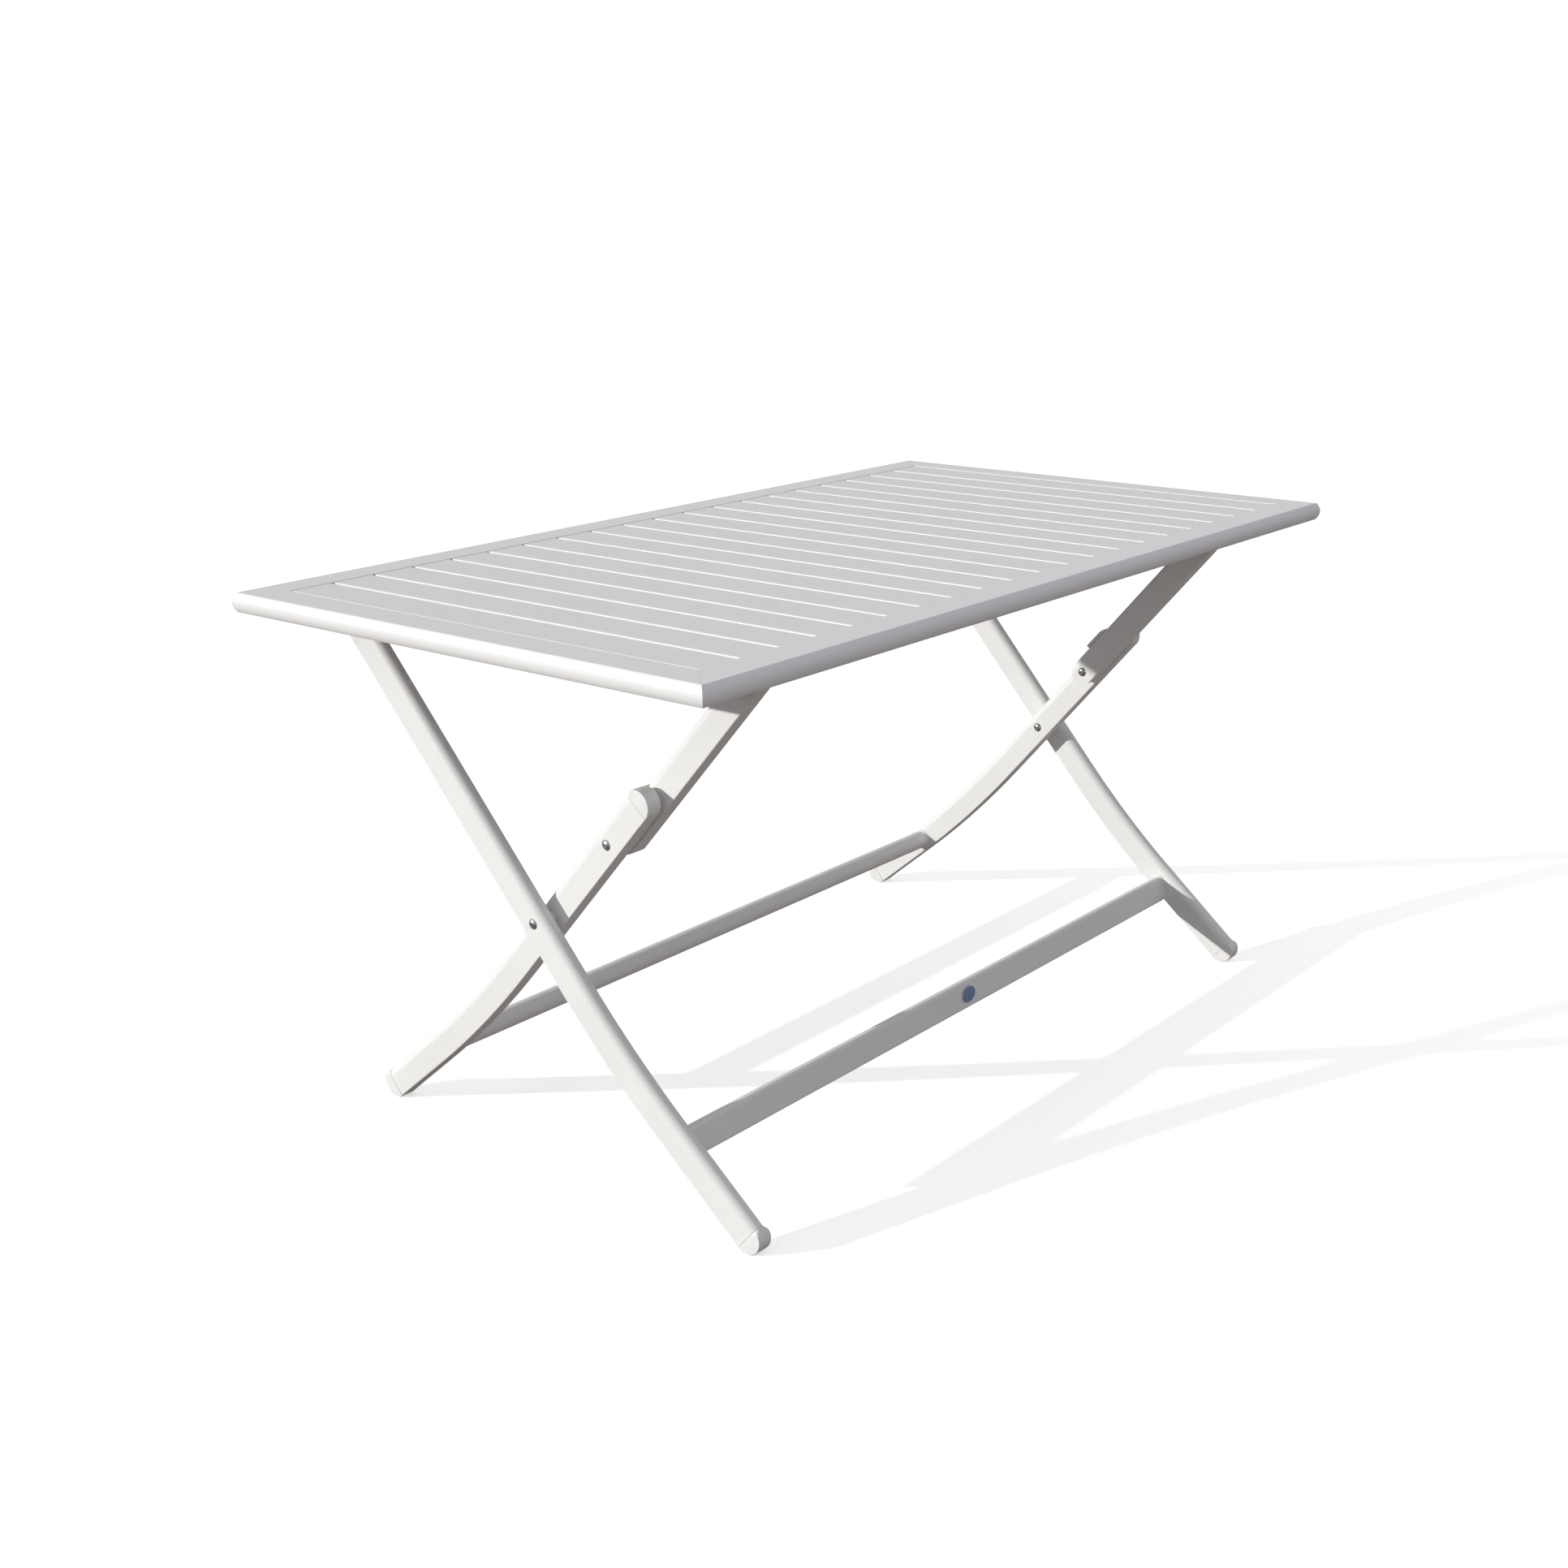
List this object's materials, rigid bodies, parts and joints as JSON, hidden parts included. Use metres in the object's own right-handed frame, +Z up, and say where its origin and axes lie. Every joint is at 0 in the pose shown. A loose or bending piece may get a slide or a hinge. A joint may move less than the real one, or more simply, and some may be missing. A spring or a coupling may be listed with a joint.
{
  "type": "folding picnic table",
  "caption": "Folding picnic table: slatted aluminium top with mitred edge rails on two crossed leg frames that fold flat through elbow braces.",
  "frame": {"origin": "on the floor, under the middle of the tabletop", "axes": "+X along the table's length, +Y across it from the front edge to the rear edge, +Z up"},
  "size_m": [1.4, 0.78, 0.72],
  "materials": {
    "rail_paint": "white powder-coated aluminium rail, low satin",
    "slat_paint": "white powder-coated aluminium slat, low satin",
    "leg_paint": "white powder-coated aluminium tube, satin",
    "cap_plastic": "white moulded plastic, fine grain",
    "white_nylon": "natural white nylon",
    "black_nylon": "black moulded nylon",
    "channel_aluminium": "mill-finish aluminium extrusion",
    "rivet_aluminium": "plain aluminium blind rivet",
    "zinc_steel": "zinc-plated steel",
    "stainless": "bright stainless steel button head",
    "badge_enamel": "blank blue enamelled oval plate"
  },
  "bodies": {
    "tabletop": {"rail_front": "rail_paint", "rail_back": "rail_paint", "rail_left": "rail_paint", "rail_right": "rail_paint", "slat_01": "slat_paint", "slat_02": "slat_paint", "slat_03": "slat_paint", "slat_04": "slat_paint", "slat_05": "slat_paint", "slat_06": "slat_paint", "slat_07": "slat_paint", "slat_08": "slat_paint", "slat_09": "slat_paint", "slat_10": "slat_paint", "slat_11": "slat_paint", "slat_12": "slat_paint", "slat_13": "slat_paint", "slat_14": "slat_paint", "slat_15": "slat_paint", "slat_16": "slat_paint", "slat_17": "slat_paint", "slat_18": "slat_paint", "slat_19": "slat_paint", "slat_20": "slat_paint", "corner_keys": "black_nylon", "leg_channel_left": "channel_aluminium", "leg_channel_right": "channel_aluminium", "centre_bearer": "channel_aluminium", "rivets": "rivet_aluminium", "bracket_rear_left": "zinc_steel", "bracket_rear_right": "zinc_steel", "bracket_front_left": "zinc_steel", "bracket_front_right": "zinc_steel", "hinge_bolts": "zinc_steel", "hinge_nuts": "zinc_steel"},
    "outer_leg_frame": {"outer_leg_left": "leg_paint", "outer_leg_right": "leg_paint", "outer_leg_plugs": "white_nylon", "flat_stretcher": "leg_paint", "badge": "badge_enamel", "outer_foot_left": "cap_plastic", "outer_foot_right": "cap_plastic", "crossing_screws": "stainless", "crossing_spacers": "white_nylon"},
    "left_brace": {"brace_left": "leg_paint", "brace_left_plug": "white_nylon"},
    "right_brace": {"brace_right": "leg_paint", "brace_right_plug": "white_nylon"},
    "inner_leg_frame": {"inner_leg_left": "leg_paint", "inner_leg_right": "leg_paint", "round_stretcher": "leg_paint", "inner_foot_left": "cap_plastic", "inner_foot_right": "cap_plastic", "stop_cap_left": "cap_plastic", "stop_cap_right": "cap_plastic", "crossing_nuts": "stainless", "elbow_screws": "stainless", "elbow_spacers": "white_nylon"}
  },
  "joints": [
    {"name": "outer_leg_fold", "type": "hinge", "parent": "tabletop", "child": "outer_leg_frame", "pos_m": [0, 0.302, 0.675], "axis": [-1, 0, 0], "range_deg": [0, 45.5]},
    {"name": "left_brace_fold", "type": "hinge", "parent": "tabletop", "child": "left_brace", "pos_m": [-0.514, -0.294, 0.675], "axis": [1, 0, 0], "range_deg": [0, 46.87]},
    {"name": "right_brace_fold", "type": "hinge", "parent": "tabletop", "child": "right_brace", "pos_m": [0.514, -0.294, 0.675], "axis": [1, 0, 0], "range_deg": [0, 46.87]},
    {"name": "elbow_fold", "type": "hinge", "parent": "left_brace", "child": "inner_leg_frame", "pos_m": [-0.53, -0.09666, 0.45171], "axis": [-1, 0, 0], "range_deg": [0, 172.63]}
  ],
  "couplings": [
    {"joint": "left_brace_fold", "follows": "outer_leg_fold", "ratio": 1.03},
    {"joint": "right_brace_fold", "follows": "outer_leg_fold", "ratio": 1.03},
    {"joint": "elbow_fold", "follows": "outer_leg_fold", "ratio": 3.7939}
  ]
}
